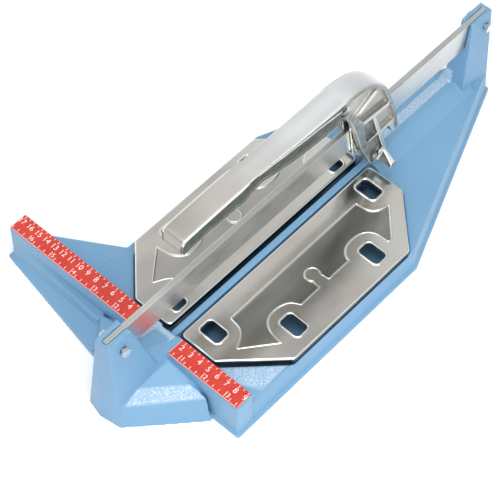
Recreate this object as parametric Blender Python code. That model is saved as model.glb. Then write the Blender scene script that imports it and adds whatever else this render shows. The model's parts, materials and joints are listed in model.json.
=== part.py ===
"""Bar-guided lever tile cutter.

A painted cast base carries two sprung steel plates, a fence with two rulers and two posts. The posts
hold a flat steel guide bar. A carriage rolls along the bar on four rollers, and a cast lever with the
scoring wheel and the breaker foot turns on the carriage's rear pin, under the bar.

Frame: +Y runs along the bar away from the fence, +X points to the right, +Z is up. The origin is on
the table, under the scoring line, where the line meets the fence face. Lengths below are millimetres.
"""

import math

import bmesh
import bpy
from mathutils import Matrix, Vector

MM = 0.001
GAP = 0.3  # between pieces that touch

# Base casting
LIP_HEIGHT = 3.5
LIP_WIDTH = 2.5
DECK_TOP = 24.5
DECK_DRAFT = 5.0
WALL = 3.5
BASE_HALF_WIDTH = 95.5
BASE_TAPER_START = 209.0
BASE_FAR_END = 411.0
BASE_END_HALF_WIDTH = 15.3
ARM_END = -176.0
WELL_FLOOR_TOP = 9.5
WELL_FLOOR_UNDER = 6.0
RIB_HALF_WIDTH = 3.0
RIB_TOP = 32.2

# Fence and rulers
FENCE_START = 8.8
FENCE_DEPTH = 18.6
FENCE_TOP = 42.5
BLOCK_TOP = 42.1
RULER_TOP = 43.6
RULER_RIGHT = (15.0, 92.0)
RULER_LEFT = (-173.0, -13.5)

# Guide bar and posts
BAR_HALF_THICKNESS = 2.7
BAR_TOP = 105.0
BAR_BOTTOM = 75.0
BAR_NEAR_END = -71.0
BAR_FAR_END = 408.0
POST_TOP = 105.6
BAR_BOLT_Z = 91.0
BAR_BOLT_NEAR_Y = -60.0
BAR_BOLT_FAR_Y = 401.5
BAR_BOLT_RADIUS = 2.5

# Sprung plates
PLATE_TOP = 31.6
PLATE_SKIRT = 4.5
SHEET = 1.5
PLATE_INNER = {1: 4.6, -1: 7.6}  # by side: the left plate stands further off the rib
PLATE_OUTER = 91.0
PLATE_Y = (6.5, 248.5)
PLATE_CHAMFER = 47.0
LEFT_NEAR_CHAMFER = 43.0
PLATE_WINDOWS = ((23.5, 28.0), (68.0, 78.0), (69.0, 178.0), (22.5, 228.0))
WINDOW_SIZE = (21.0, 14.0)
LEFT_OUTER_WINDOW_SHIFT = 2.5
SPRING_PLACES = ((18.0, 72.0), (18.0, 185.0), (78.0, 106.0), (78.0, 149.0))
SCREW_PLACES = ((40.0, 96.0), (40.0, 160.0))
SPRING_RADIUS = 4.5
SPRING_WIRE = 0.6
SPRING_TURNS = 4

# Carriage
FULCRUM = (272.0, 70.6)  # y, z of the rear pin, under the bar
FULCRUM_ROLLER_RADIUS = 4.1
FULCRUM_PIN_RADIUS = 2.2
FULCRUM_BOSS_RADIUS = 4.8
FULCRUM_PIN_END = 10.5
CHEEK_X = (3.4, 5.0)
UNDER_ROLLER = (229.0, 70.7)
UNDER_ROLLER_RADIUS = 4.0
TOP_ROLLERS = ((231.0, 109.8), (245.0, 109.8))
TOP_ROLLER_RADIUS = 4.5
ROLLER_PIN_RADIUS = 1.5
SADDLE_TOP = 121.0

# Lever casting
WEB_X = (6.2, 8.4)
HEAD_HALF_WIDTH = 12.5
GRIP_HALF_WIDTH = 11.5
NECK_HALF_WIDTH = 10.2
LEVER_SKIN = 2.5
WHEEL_AXIS = (247.0, 51.0)
WHEEL_RADIUS = 8.0
WHEEL_HALF_THICKNESS = 1.2
WHEEL_BOLT_RADIUS = 2.0
RETURN_SPRING_Y = 228.0
WING_REACH = 28.0

MATERIALS = {}


def material(name, colour, roughness, metallic):
    """A Principled material, made once for each name."""
    if name not in MATERIALS:
        made = bpy.data.materials.new(name)
        made.use_nodes = True
        shader = made.node_tree.nodes["Principled BSDF"]
        shader.inputs["Base Color"].default_value = (*colour, 1.0)
        shader.inputs["Roughness"].default_value = roughness
        shader.inputs["Metallic"].default_value = metallic
        MATERIALS[name] = made
    return MATERIALS[name]


def blue_paint():
    return material("blue_paint", (0.22, 0.45, 0.70), 0.45, 0.0)


def plate_steel():
    return material("plate_steel", (0.55, 0.54, 0.52), 0.25, 1.0)


def bar_steel():
    return material("bar_steel", (0.50, 0.50, 0.50), 0.35, 1.0)


def zinc():
    return material("zinc", (0.65, 0.66, 0.68), 0.30, 1.0)


def cast_aluminium():
    return material("cast_aluminium", (0.62, 0.61, 0.60), 0.40, 1.0)


def hard_metal():
    return material("hard_metal", (0.28, 0.28, 0.30), 0.30, 1.0)


def red_strip():
    return material("red_strip", (0.68, 0.06, 0.04), 0.40, 0.0)


def clear_scene():
    for old in list(bpy.data.objects):
        bpy.data.objects.remove(old, do_unlink=True)


def place(name, mesh_data, finish=None):
    """A bmesh in millimetres becomes an object in metres, with faces pointing out."""
    bmesh.ops.remove_doubles(mesh_data, verts=mesh_data.verts, dist=1e-4)
    bmesh.ops.recalc_face_normals(mesh_data, faces=mesh_data.faces)
    bmesh.ops.scale(mesh_data, vec=(MM, MM, MM), verts=mesh_data.verts)
    mesh = bpy.data.meshes.new(name)
    mesh_data.to_mesh(mesh)
    mesh_data.free()
    made = bpy.data.objects.new(name, mesh)
    bpy.context.scene.collection.objects.link(made)
    if finish:
        mesh.materials.append(finish)
    return made


def guide(made):
    """Marks an object as a cutter, which is no part of the tile cutter."""
    made.hide_render = True
    made.display_type = "WIRE"
    return made


def combine(target, others, operation):
    for other in others:
        step = target.modifiers.new(operation.lower(), "BOOLEAN")
        step.operation = operation
        step.solver = "EXACT"
        step.object = guide(other)
    return target


def join(target, *others):
    return combine(target, others, "UNION")


def cut(target, *others):
    return combine(target, others, "DIFFERENCE")


def set_origin(made, point):
    """Moves an object's origin to a point in millimetres and leaves its shape where it is."""
    offset = Vector(point) * MM
    made.data.transform(Matrix.Translation(-offset))
    made.location = offset
    return made


def prism(name, outline, low, high, axis="Z", finish=None):
    """Extrudes an outline along an axis. The outline is in (x, y) for Z and (y, z) for X."""
    return loft(name, outline, low, outline, high, axis, finish)


def loft(name, first, low, last, high, axis="Z", finish=None):
    """Joins two outlines of as many points, one at each end of an axis."""
    def corner(point, level):
        return (point[0], point[1], level) if axis == "Z" else (level, point[0], point[1])

    shape = bmesh.new()
    lower = [shape.verts.new(corner(p, low)) for p in first]
    upper = [shape.verts.new(corner(p, high)) for p in last]
    shape.faces.new(lower)
    shape.faces.new(upper)
    count = len(first)
    for i in range(count):
        j = (i + 1) % count
        shape.faces.new((lower[i], lower[j], upper[j], upper[i]))
    return place(name, shape, finish)


def solid_of_points(name, points):
    """The convex solid around some points."""
    shape = bmesh.new()
    corners = [shape.verts.new(p) for p in points]
    result = bmesh.ops.convex_hull(shape, input=corners)
    spare = {v for v in result["geom_interior"] + result["geom_unused"] if isinstance(v, bmesh.types.BMVert)}
    bmesh.ops.delete(shape, geom=list(spare), context="VERTS")
    return place(name, shape)


def box(name, low, high, finish=None):
    outline = [(low[0], low[1]), (high[0], low[1]), (high[0], high[1]), (low[0], high[1])]
    return prism(name, outline, low[2], high[2], "Z", finish)


def turned(name, profile, centre, axis, sides=24, finish=None):
    """Turns a profile of (radius, height) points about an axis through a centre."""
    shape = bmesh.new()
    rings = []
    for radius, height in profile:
        if radius == 0:
            rings.append([shape.verts.new((0, 0, height))])
            continue
        turns = [2 * math.pi * k / sides for k in range(sides)]
        rings.append([shape.verts.new((radius * math.cos(t), radius * math.sin(t), height)) for t in turns])
    closed = profile[0][0] > 0 and profile[-1][0] > 0
    pairs = list(zip(rings, rings[1:]))
    if closed:
        pairs.append((rings[-1], rings[0]))
    for ring, following in pairs:
        for k in range(sides):
            after = (k + 1) % sides
            corners = [ring[k % len(ring)], ring[after % len(ring)],
                       following[after % len(following)], following[k % len(following)]]
            shape.faces.new(list(dict.fromkeys(corners)))
    turn = {"X": Matrix.Rotation(math.pi / 2, 4, "Y"), "Z": Matrix.Identity(4)}[axis]
    bmesh.ops.transform(shape, matrix=Matrix.Translation(Vector(centre)) @ turn, verts=shape.verts)
    made = place(name, shape, finish)
    made.data.shade_smooth()
    made.data.set_sharp_from_angle(angle=math.radians(40))
    return made


def rod(name, radius, low, high, centre, axis, sides=24, finish=None):
    """A round rod; its centre holds the two coordinates that its axis doesn't run along."""
    point = (0, *centre) if axis == "X" else (*centre, 0)
    profile = [(0, low), (radius, low), (radius, high), (0, high)]
    return turned(name, profile, point, axis, sides, finish)


def headed_rod(name, parts, centre, axis, finish, sides=24):
    """A stepped rod. Each part is (radius, low, high), in order along the axis."""
    profile = [(0, parts[0][1])]
    for radius, low, high in parts:
        profile += [(radius, low), (radius, high)]
    profile.append((0, parts[-1][2]))
    point = (0, *centre) if axis == "X" else (*centre, 0)
    return turned(name, profile, point, axis, sides, finish)


def ring(name, inner, outer, low, high, centre, axis, finish, sides=24):
    profile = [(outer, low), (outer, high), (inner, high), (inner, low)]
    point = (0, *centre) if axis == "X" else (*centre, 0)
    return turned(name, profile, point, axis, sides, finish)


def hexagon(radius, centre):
    turns = [math.pi / 3 * k for k in range(6)]
    return [(centre[0] + radius * math.cos(t), centre[1] + radius * math.sin(t)) for t in turns]


def arc(centre, radius, start, end, steps):
    """Points of an arc, from one angle in degrees to another."""
    turns = [math.radians(start + (end - start) * k / steps) for k in range(steps + 1)]
    return [(centre[0] + radius * math.cos(t), centre[1] + radius * math.sin(t)) for t in turns]


def coil(name, radius, wire, low, high, turns, centre, finish):
    """A compression spring about a vertical axis."""
    curve = bpy.data.curves.new(name, "CURVE")
    curve.dimensions = "3D"
    curve.bevel_depth = wire * MM
    curve.bevel_resolution = 0
    curve.use_fill_caps = True
    steps = 10 * turns
    line = curve.splines.new("POLY")
    line.points.add(steps)
    for k, point in enumerate(line.points):
        turn = 2 * math.pi * turns * k / steps
        height = low + wire + (high - low - 2 * wire) * k / steps
        point.co = (radius * math.cos(turn) * MM, radius * math.sin(turn) * MM, height * MM, 1)
    made = bpy.data.objects.new(name, curve)
    made.location = (centre[0] * MM, centre[1] * MM, 0)
    curve.materials.append(finish)
    bpy.context.scene.collection.objects.link(made)
    return made


def mirrored(outline, side):
    """An outline on the right side, or its mirror image on the left."""
    return [(x * side, y) for x, y in outline]


def plate_outline(side, inset, inner):
    """A plate's outline on its own side, drawn in by an inset, with its straight edge at the inner x."""
    x1 = PLATE_OUTER - inset
    y0, y1 = PLATE_Y[0] + inset, PLATE_Y[1] - inset
    c = PLATE_CHAMFER - inset * (2 - math.sqrt(2))
    n = c if side > 0 else c - PLATE_CHAMFER + LEFT_NEAR_CHAMFER
    r = 6.0
    return mirrored([(inner, y0 + r), (inner + r, y0), (x1 - n, y0), (x1, y0 + n),
                     (x1, y1 - c), (x1 - c, y1), (inner + r, y1), (inner, y1 - r)], side)


def rounded_rectangle(centre, size, radius):
    x, y = centre
    w, h = size[0] / 2 - radius, size[1] / 2 - radius
    corners = ((w, h, 0), (-w, h, 90), (-w, -h, 180), (w, -h, 270))
    return [p for dx, dy, start in corners for p in arc((x + dx, y + dy), radius, start, start + 90, 3)]


# ---------------------------------------------------------------- base

def base_outline(inset, left_share=0.3):
    """The main tray's outline at the table, drawn in by an inset. Its left side moves in by a share of that."""
    w, e = BASE_HALF_WIDTH - inset, BASE_END_HALF_WIDTH - inset * 0.6
    steep = BASE_HALF_WIDTH - inset * left_share
    far, near = BASE_FAR_END - inset, -20.6 + inset
    return [(w, near), (w, BASE_TAPER_START), (e, far), (-e, far), (-steep, BASE_TAPER_START), (-steep, near)]


def arm_outline(inset):
    """The left arm's outline at the table: the fence's foot and the web behind it."""
    end = ARM_END + inset
    return [(end, -23.0 + inset), (-60.0, -31.5 + inset), (-60.0, 30.0), (-94.5, 48.0 - inset),
            (-153.0 + inset * 0.5, 11.5 - inset * 0.6), (end, 2.5 - inset * 0.5)]


def deck_corners(side, inset):
    """The sloping deck beside the near post, as three corners at the table and three on top."""
    s, i = side, inset
    low = [(16.8 * s - i * s, -78.6 + i), (42.2 * s - i * s, -51.4 + i), (68.2 * s - 2 * i * s, -22.5 + i)]
    high = [(15.0 * s - i * s, -72.0 + i, 27.0 - i), (61.0 * s - 2 * i * s, -21.0 + i, 27.0 - i),
            (16.0 * s - i * s, -20.0, 36.0 - i)]
    return [(x, y, 0.0) for x, y in low] + [(4.0 * s, -78.0 + i, 0.0), (4.0 * s, -18.0, 0.0)] + high


def near_post(inset):
    """The near post: four corners on top, five at the table and two where it meets the block."""
    t, i = POST_TOP - inset, inset
    low = [(-20.0 + i, -77.5 + i), (-3.4, -81.7 + i), (16.8 - i, -78.6 + i), (19.0 - i, -18.0), (-19.0 + i, -18.0)]
    top = [(-7.4 + i, -73.5 + i), (7.4 - i, -73.5 + i), (8.0 - i, -49.0 - i), (-8.0 + i, -49.0 - i)]
    foot = [(x, y, 0.0) for x, y in low] + [(-12.5 + i, -50.0, 39.0 - i), (12.5 - i, -50.0, 39.0 - i)]
    tower = [(x, y, t) for x, y in top]
    return foot + tower


def post_saddle():
    """The low block between the fences, which rises to the post and falls away to the sloping decks."""
    right = [(19.0, -50.0, 0.0), (18.0, -2.0, 0.0), (5.2, -49.2, 62.0), (8.2, -20.4, BLOCK_TOP), (8.2, -1.5, BLOCK_TOP),
             (16.8, -21.8, 35.5), (13.0, -50.5, 38.0)]
    return right + [(-x, y, z) for x, y, z in right]


def far_post(inset):
    i = inset
    low = [(-14.0 + i, 368.0 + i), (14.0 - i, 368.0 + i), (13.4 - i, 409.0 - i), (-13.4 + i, 409.0 - i)]
    top = [(-6.4 + i, 383.0 + i), (6.4 - i, 383.0 + i), (6.4 - i, 410.0 - i), (-6.4 + i, 410.0 - i)]
    return [(x, y, 0.0) for x, y in low] + [(x, y, POST_TOP - i) for x, y in top]


def shoulders():
    """The raised centre of the far deck, which falls away on both sides of the scoring line."""
    near, far = PLATE_Y[1] + 4.0, 384.0
    section = [(-20.0, 20.0), (-16.5, 25.3), (-RIB_HALF_WIDTH, RIB_TOP), (RIB_HALF_WIDTH, RIB_TOP),
               (16.5, 25.3), (20.0, 20.0)]
    shape = bmesh.new()
    ends = [[shape.verts.new((x, y, z)) for x, z in section] for y in (near, far)]
    shape.faces.new(ends[0])
    shape.faces.new(ends[1])
    for i in range(len(section)):
        j = (i + 1) % len(section)
        shape.faces.new((ends[0][i], ends[0][j], ends[1][j], ends[1][i]))
    return place("base_shoulders", shape)


def base_underside():
    """The hollow under the base. It leaves a skin under every surface and around the two wells."""
    inner = base_outline(WALL + LIP_WIDTH, 1.0)
    hollow = prism("base_hollow", inner, -1.0, DECK_TOP - WALL)
    keep = [box("base_rib_web", (-RIB_HALF_WIDTH, -90.0, -2.0), (RIB_HALF_WIDTH, 420.0, 40.0))]
    for side in (1, -1):
        well = plate_outline(side, 1.0, 0.0)
        keep.append(prism("base_well_wall", well, WELL_FLOOR_UNDER, 40.0))
        keep.append(prism("base_cross_rib", mirrored([(2.0, 122.0), (92.0, 122.0), (92.0, 125.5), (2.0, 125.5)],
                                                     side), -2.0, 40.0))
    return cut(hollow, *keep)


def base_casting():
    lip = prism("base_casting", base_outline(0.0), 0.0, LIP_HEIGHT, "Z", blue_paint())
    tray = loft("base_tray", base_outline(LIP_WIDTH), LIP_HEIGHT - 0.5, base_outline(DECK_DRAFT), DECK_TOP)
    arm_lip = prism("base_arm_lip", arm_outline(0.0), 0.0, LIP_HEIGHT)
    arm = loft("base_arm", arm_outline(LIP_WIDTH), LIP_HEIGHT - 0.5, arm_outline(DECK_DRAFT), DECK_TOP)
    fence_left = box("base_fence_left", (ARM_END + LIP_WIDTH, -FENCE_DEPTH, 0.0), (-FENCE_START, 0.0, FENCE_TOP))
    fence_right = box("base_fence_right", (FENCE_START, -FENCE_DEPTH, 0.0), (93.5, 0.0, FENCE_TOP))
    web_bead = box("base_web_bead", (-94.2, -2.0, DECK_TOP - 2.0), (-93.0, 37.0, DECK_TOP + 0.6))
    rib = box("base_rib", (-RIB_HALF_WIDTH, -40.0, 0.0), (RIB_HALF_WIDTH, 400.0, RIB_TOP))
    post = solid_of_points("base_near_post", near_post(0.0))
    block = solid_of_points("base_block", post_saddle())
    far = solid_of_points("base_far_post", far_post(0.0))
    decks = [solid_of_points("base_deck", deck_corners(side, 0.0)) for side in (1, -1)]
    left_front = solid_of_points("base_left_front", [
        (-176.0, -23.0, 0.0), (-98.6, -35.5, 0.0), (-48.4, -45.4, 0.0), (-48.4, -10.0, 0.0), (-176.0, -10.0, 0.0),
        (-175.0, -22.5, 3.5), (-98.0, -34.5, 5.0), (-50.0, -44.0, 7.0), (-168.0, -18.4, 4.5), (-149.0, -18.4, 11.0),
        (-68.0, -18.4, 20.0), (-52.0, -18.4, 21.0)])
    join(lip, tray, arm_lip, arm, fence_left, fence_right, rib, post, block, far, shoulders(), left_front,
         web_bead, *decks)
    wells = [prism("base_well", plate_outline(side, 4.5, RIB_HALF_WIDTH), WELL_FLOOR_TOP, 60.0) for side in (1, -1)]
    gaps = [box("base_gap", (min(RIB_HALF_WIDTH * side, PLATE_INNER[side] * side), 3.0, WELL_FLOOR_TOP),
                (max(RIB_HALF_WIDTH * side, PLATE_INNER[side] * side), 252.0, 60.0)) for side in (1, -1)]
    cut(lip, *wells, *gaps, base_underside())
    fence_hollow = box("base_fence_hollow", (ARM_END + 9.0, -FENCE_DEPTH + WALL, -1.0),
                       (-RIB_HALF_WIDTH - 10.0, -WALL, FENCE_TOP - WALL))
    fence_hollow_right = box("base_fence_hollow_right", (RIB_HALF_WIDTH + 10.0, -FENCE_DEPTH + WALL, -1.0),
                             (89.0, -WALL, FENCE_TOP - WALL))
    arm_hollow = prism("base_arm_hollow", [(-90.0, 3.0), (-90.0, 44.0), (-138.0, 5.0), (-138.0, 3.0)],
                       -1.0, DECK_TOP - WALL)
    cut(lip, fence_hollow, fence_hollow_right, arm_hollow)
    post_hollow = solid_of_points("base_post_hollow", [(x, y, z if z > 0 else -1.0) for x, y, z in near_post(5.0)
                                                       if z < BLOCK_TOP] +
                                  [(-6.0, -66.0, 62.0), (6.0, -66.0, 62.0), (6.0, -54.0, 62.0), (-6.0, -54.0, 62.0)])
    web = box("base_post_web", (-RIB_HALF_WIDTH, -90.0, -2.0), (RIB_HALF_WIDTH, 0.0, 80.0))
    cut(lip, cut(post_hollow, web))
    bar_slot = box("base_bar_slot", (-BAR_HALF_THICKNESS - GAP, BAR_NEAR_END - GAP, BAR_BOTTOM - GAP),
                   (BAR_HALF_THICKNESS + GAP, BAR_FAR_END + GAP, POST_TOP + 5.0))
    holes = [rod("base_bolt_hole", BAR_BOLT_RADIUS + GAP, -20.0, 20.0, (y, BAR_BOLT_Z), "X")
             for y in (BAR_BOLT_NEAR_Y, BAR_BOLT_FAR_Y)]
    pilot = [rod("base_screw_hole", 2.2, -1.0, 20.0, (x * side, y), "Z", 16)
             for x, y in SCREW_PLACES for side in (1, -1)]
    return cut(lip, bar_slot, *holes, *pilot)


def rulers():
    y0, y1 = -FENCE_DEPTH + 0.2, -0.2
    for name, (x0, x1) in (("ruler_left", RULER_LEFT), ("ruler_right", RULER_RIGHT)):
        box(name, (x0, y0, FENCE_TOP + GAP), (x1, y1, RULER_TOP), red_strip())


def guide_bar():
    bar = box("guide_bar", (-BAR_HALF_THICKNESS, BAR_NEAR_END, BAR_BOTTOM),
              (BAR_HALF_THICKNESS, BAR_FAR_END, BAR_TOP), bar_steel())
    cut(bar, *[rod("bar_hole", BAR_BOLT_RADIUS + GAP, -10.0, 10.0, (y, BAR_BOLT_Z), "X")
               for y in (BAR_BOLT_NEAR_Y, BAR_BOLT_FAR_Y)])


def bar_fasteners():
    """A hexagon bolt from the right and a nut on the left, at each end of the bar."""
    for end, y, seat in (("near", BAR_BOLT_NEAR_Y, 10.6), ("far", BAR_BOLT_FAR_Y, 8.8)):
        head = prism(f"bar_bolt_{end}", hexagon(4.6, (y, BAR_BOLT_Z)), seat + GAP, seat + 3.2, "X", zinc())
        join(head, rod("bolt_shank", BAR_BOLT_RADIUS, -seat - 4.5, seat + 1.0, (y, BAR_BOLT_Z), "X"))
        nut = prism(f"bar_nut_{end}", hexagon(4.6, (y, BAR_BOLT_Z)), -seat - 3.6, -seat - GAP, "X", zinc())
        cut(nut, rod("nut_bore", BAR_BOLT_RADIUS + GAP, -seat - 6.0, -seat + 1.0, (y, BAR_BOLT_Z), "X"))


# ---------------------------------------------------------------- plates

def sprung_plate(word, side):
    """A pressed steel plate with a turned-down rim and four windows, its springs and its screws."""
    low = PLATE_TOP - PLATE_SKIRT
    inner = PLATE_INNER[side]
    plate = prism(f"plate_{word}", plate_outline(side, 0.0, inner), low, PLATE_TOP, "Z", plate_steel())
    inside = prism("plate_inside", plate_outline(side, SHEET, inner + SHEET), low - 1.0, PLATE_TOP - SHEET)
    cut(plate, inside)
    windows = []
    for x, y in PLATE_WINDOWS:
        if side < 0 and x > PLATE_OUTER / 2:
            x += LEFT_OUTER_WINDOW_SHIFT
        outline = rounded_rectangle((x * side, y), WINDOW_SIZE, 3.0)
        windows.append(prism("plate_window", outline, low - 2.0, PLATE_TOP + 2.0))
    cut(plate, *windows)
    under = PLATE_TOP - SHEET - GAP
    for k, (x, y) in enumerate(SPRING_PLACES, start=1):
        coil(f"plate_{word}_spring_{k}", SPRING_RADIUS, SPRING_WIRE, WELL_FLOOR_TOP + GAP, under,
             SPRING_TURNS, (x * side, y), zinc())
    for k, (x, y) in enumerate(SCREW_PLACES, start=1):
        parts = ((4.0, WELL_FLOOR_UNDER - 3.3, WELL_FLOOR_UNDER - GAP), (1.9, WELL_FLOOR_UNDER - GAP, under))
        headed_rod(f"plate_{word}_screw_{k}", parts, (x * side, y), "Z", zinc(), 16)


# ---------------------------------------------------------------- carriage

def saddle():
    """A bent steel saddle: two cheeks beside the bar, joined by a bridge over it."""
    fy, fz = FULCRUM
    uy, uz = UNDER_ROLLER
    front_foot = arc((uy, uz), 4.5, 180, 360, 6)
    rear_foot = arc((fy, fz), 4.4, 170, 380, 8)
    inside = [(uy + 5.0, 95.0), (fy - 14.0, 97.0)]
    top = [(fy - 13.0, 103.0), (250.5, 108.0), (250.5, 114.0), (247.0, SADDLE_TOP), (219.5, SADDLE_TOP),
           (217.5, SADDLE_TOP - 5.0)]
    cheek = front_foot + inside + rear_foot + top
    body = prism("saddle", cheek, -CHEEK_X[1], CHEEK_X[1], "X", zinc())
    slot = box("saddle_slot", (-CHEEK_X[0], 200.0, 50.0), (CHEEK_X[0], 290.0, SADDLE_TOP - 2.0))
    holes = [rod("saddle_hole", radius + GAP, -10.0, 10.0, centre, "X", 16) for centre, radius in
             [(FULCRUM, FULCRUM_PIN_RADIUS), (UNDER_ROLLER, ROLLER_PIN_RADIUS)]
             + [(c, ROLLER_PIN_RADIUS) for c in TOP_ROLLERS]]
    cut(body, slot, *holes)


def rollers():
    """Four rollers that hold the saddle on the bar, and their pins."""
    places = [("top_roller_front", TOP_ROLLERS[0], TOP_ROLLER_RADIUS), ("top_roller_rear", TOP_ROLLERS[1],
              TOP_ROLLER_RADIUS), ("under_roller", UNDER_ROLLER, UNDER_ROLLER_RADIUS)]
    half = CHEEK_X[0] - GAP
    for name, centre, radius in places:
        roller = ring(name, ROLLER_PIN_RADIUS + GAP, radius, -half, half, centre, "X", hard_metal())
        set_origin(roller, (0, *centre))
        reach = CHEEK_X[1] + 0.6
        rod(f"{name}_pin", ROLLER_PIN_RADIUS, -reach, reach, centre, "X", 16, zinc())
    roller = ring("fulcrum_roller", FULCRUM_PIN_RADIUS + GAP, FULCRUM_ROLLER_RADIUS, -half, half, FULCRUM, "X",
                  hard_metal(), 32)
    set_origin(roller, (0, *FULCRUM))


def fulcrum_pin():
    """The pin that the lever turns on. It goes in from the left, where a spring clip holds it."""
    seat = HEAD_HALF_WIDTH + GAP
    rod("fulcrum_pin", FULCRUM_PIN_RADIUS, -seat - 2.0, FULCRUM_PIN_END, FULCRUM, "X", finish=zinc())
    ring("fulcrum_clip", FULCRUM_PIN_RADIUS + GAP, 4.4, -seat - 1.1, -seat, FULCRUM, "X", zinc())


# ---------------------------------------------------------------- lever

def lever_side():
    """The lever seen from its side, in (y, z): grip, neck, domed head, legs and fulcrum boss."""
    grip = [(7.5, 155.0), (9.5, 166.5), (50.0, 168.3), (90.0, 168.7), (145.0, 166.8), (195.0, 166.2)]
    dome = [(208.0, 166.3), (220.0, 164.8), (232.0, 160.6), (244.0, 153.0), (254.5, 141.0), (265.0, 118.0),
            (272.5, 94.5), (276.8, 77.5)]
    boss = arc(FULCRUM, FULCRUM_BOSS_RADIUS, 0, -150, 5)
    strut = [(265.0, 76.0), (262.0, 80.5), (252.6, 81.6), (257.0, 66.0), (261.0, 50.0)]
    toe = [(260.0, 46.0), (246.0, 45.0), (239.5, 48.5)]
    leg = [(235.5, 58.0), (229.0, 69.0), (226.5, 80.0), (218.5, 101.5), (211.5, 128.0), (207.5, 138.0),
           (203.5, 142.0), (198.0, 145.5)]
    under = [(192.0, 143.0), (147.0, 150.0), (100.0, 157.0), (73.5, 153.0), (30.0, 149.0), (12.0, 146.0)]
    return grip + dome + boss + strut + toe + leg + under


def lever_plan():
    """The lever seen from above: a wide grip, a narrower neck and a wide head."""
    half = [(GRIP_HALF_WIDTH - 1.5, 6.0), (GRIP_HALF_WIDTH, 9.0), (GRIP_HALF_WIDTH, 76.0), (NECK_HALF_WIDTH, 95.0),
            (HEAD_HALF_WIDTH - 0.4, 196.0), (HEAD_HALF_WIDTH, 206.0), (HEAD_HALF_WIDTH, 285.0)]
    return half + [(-x, y) for x, y in reversed(half)]


def lever_channel():
    """The hollow under the grip and neck, open below."""
    side = [(12.0, 120.0), (12.0, 163.0), (50.0, 165.6), (90.0, 166.0), (145.0, 164.2), (200.0, 162.0), (200.0, 120.0)]
    grip, neck = GRIP_HALF_WIDTH - LEVER_SKIN, NECK_HALF_WIDTH - LEVER_SKIN
    half = [(grip, 10.0), (grip, 76.0), (neck, 95.0), (neck, 210.0)]
    hollow = prism("lever_channel", side, -20.0, 20.0, "X")
    plan = prism("lever_channel_plan", half + [(-x, y) for x, y in reversed(half)], 100.0, 180.0)
    return combine(hollow, [plan], "INTERSECT")


def lever_cavity():
    """The space between the two webs, for the saddle, the bar and the wheel."""
    side = [(190.0, 30.0), (190.0, 120.0), (196.0, 161.0), (208.0, 161.0), (219.0, 159.7), (230.0, 156.0),
            (241.0, 149.3), (251.0, 137.5), (260.5, 116.5), (260.5, 113.5), (290.0, 113.5), (290.0, 30.0)]
    return prism("lever_cavity", side, -WEB_X[0], WEB_X[0], "X")


def side_pockets():
    """The open bays on the outside of each web, between the ribs."""
    bays = [
        [(207.2, 162.6), (204.8, 159.5), (205.8, 153.6), (209.8, 143.0), (214.8, 134.4), (240.0, 147.6), (237.0, 151.8),
         (230.0, 156.8), (222.0, 160.4), (214.0, 162.2)],
        [(217.6, 131.4), (243.2, 144.6), (246.6, 145.2), (251.2, 137.6), (255.8, 126.6), (259.6, 116.8),
         (259.4, 115.2), (225.8, 118.6)],
        [(226.4, 113.6), (237.2, 112.0), (246.0, 87.6), (244.6, 84.4), (232.9, 84.4), (231.4, 90.0)],
        [(233.2, 82.8), (245.0, 82.8), (247.6, 83.6), (252.4, 68.0), (252.4, 55.0), (251.2, 53.0), (251.2, 47.2),
         (245.5, 47.0), (241.5, 49.5), (239.9, 58.0), (235.6, 72.0)],
        [(240.4, 111.6), (261.6, 110.6), (268.2, 93.6), (269.6, 84.8), (253.0, 84.2), (249.6, 88.0)],
    ]
    return [prism("lever_bay", bay, WEB_X[1] * side, (HEAD_HALF_WIDTH + 2.0) * side, "X")
            for side in (1, -1) for bay in bays]


def breaker_wings():
    """A wing on each side of the legs, which bears on the tile beside the scored line."""
    points = [(8.6, 253.0, 46.0), (8.6, 261.5, 46.0), (8.6, 256.8, 66.0), (8.6, 260.0, 64.0),
              (WING_REACH - 0.6, 250.2, 43.8), (WING_REACH - 3.0, 259.6, 43.8),
              (WING_REACH - 0.6, 250.6, 46.8), (WING_REACH - 3.0, 259.4, 46.4)]
    return [solid_of_points("lever_wing", [(x * side, y, z) for x, y, z in points]) for side in (1, -1)]


def handle_casting():
    """One aluminium casting: grip, neck, head, legs and breaker wings."""
    lever = prism("handle_casting", lever_side(), -HEAD_HALF_WIDTH, HEAD_HALF_WIDTH, "X", cast_aluminium())
    combine(lever, [prism("lever_plan", lever_plan(), 20.0, 180.0)], "INTERSECT")
    join(lever, *breaker_wings())
    cut(lever, lever_channel(), lever_cavity(), *side_pockets())
    cut(lever, rod("lever_fulcrum_bore", FULCRUM_PIN_RADIUS + GAP, -30.0, FULCRUM_PIN_END + GAP, FULCRUM, "X"),
        rod("lever_wheel_bore", WHEEL_BOLT_RADIUS + GAP, -30.0, 30.0, WHEEL_AXIS, "X", 16))
    return lever


def hang_on_pivot(pieces):
    """The lever's pieces hang from an empty on the fulcrum axis, which is what they turn about."""
    pivot = bpy.data.objects.new("lever_pivot", None)
    pivot.location = (0, FULCRUM[0] * MM, FULCRUM[1] * MM)
    bpy.context.scene.collection.objects.link(pivot)
    for piece in pieces:
        piece.parent = pivot
        piece.matrix_parent_inverse = Matrix.Translation(-pivot.location)


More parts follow.
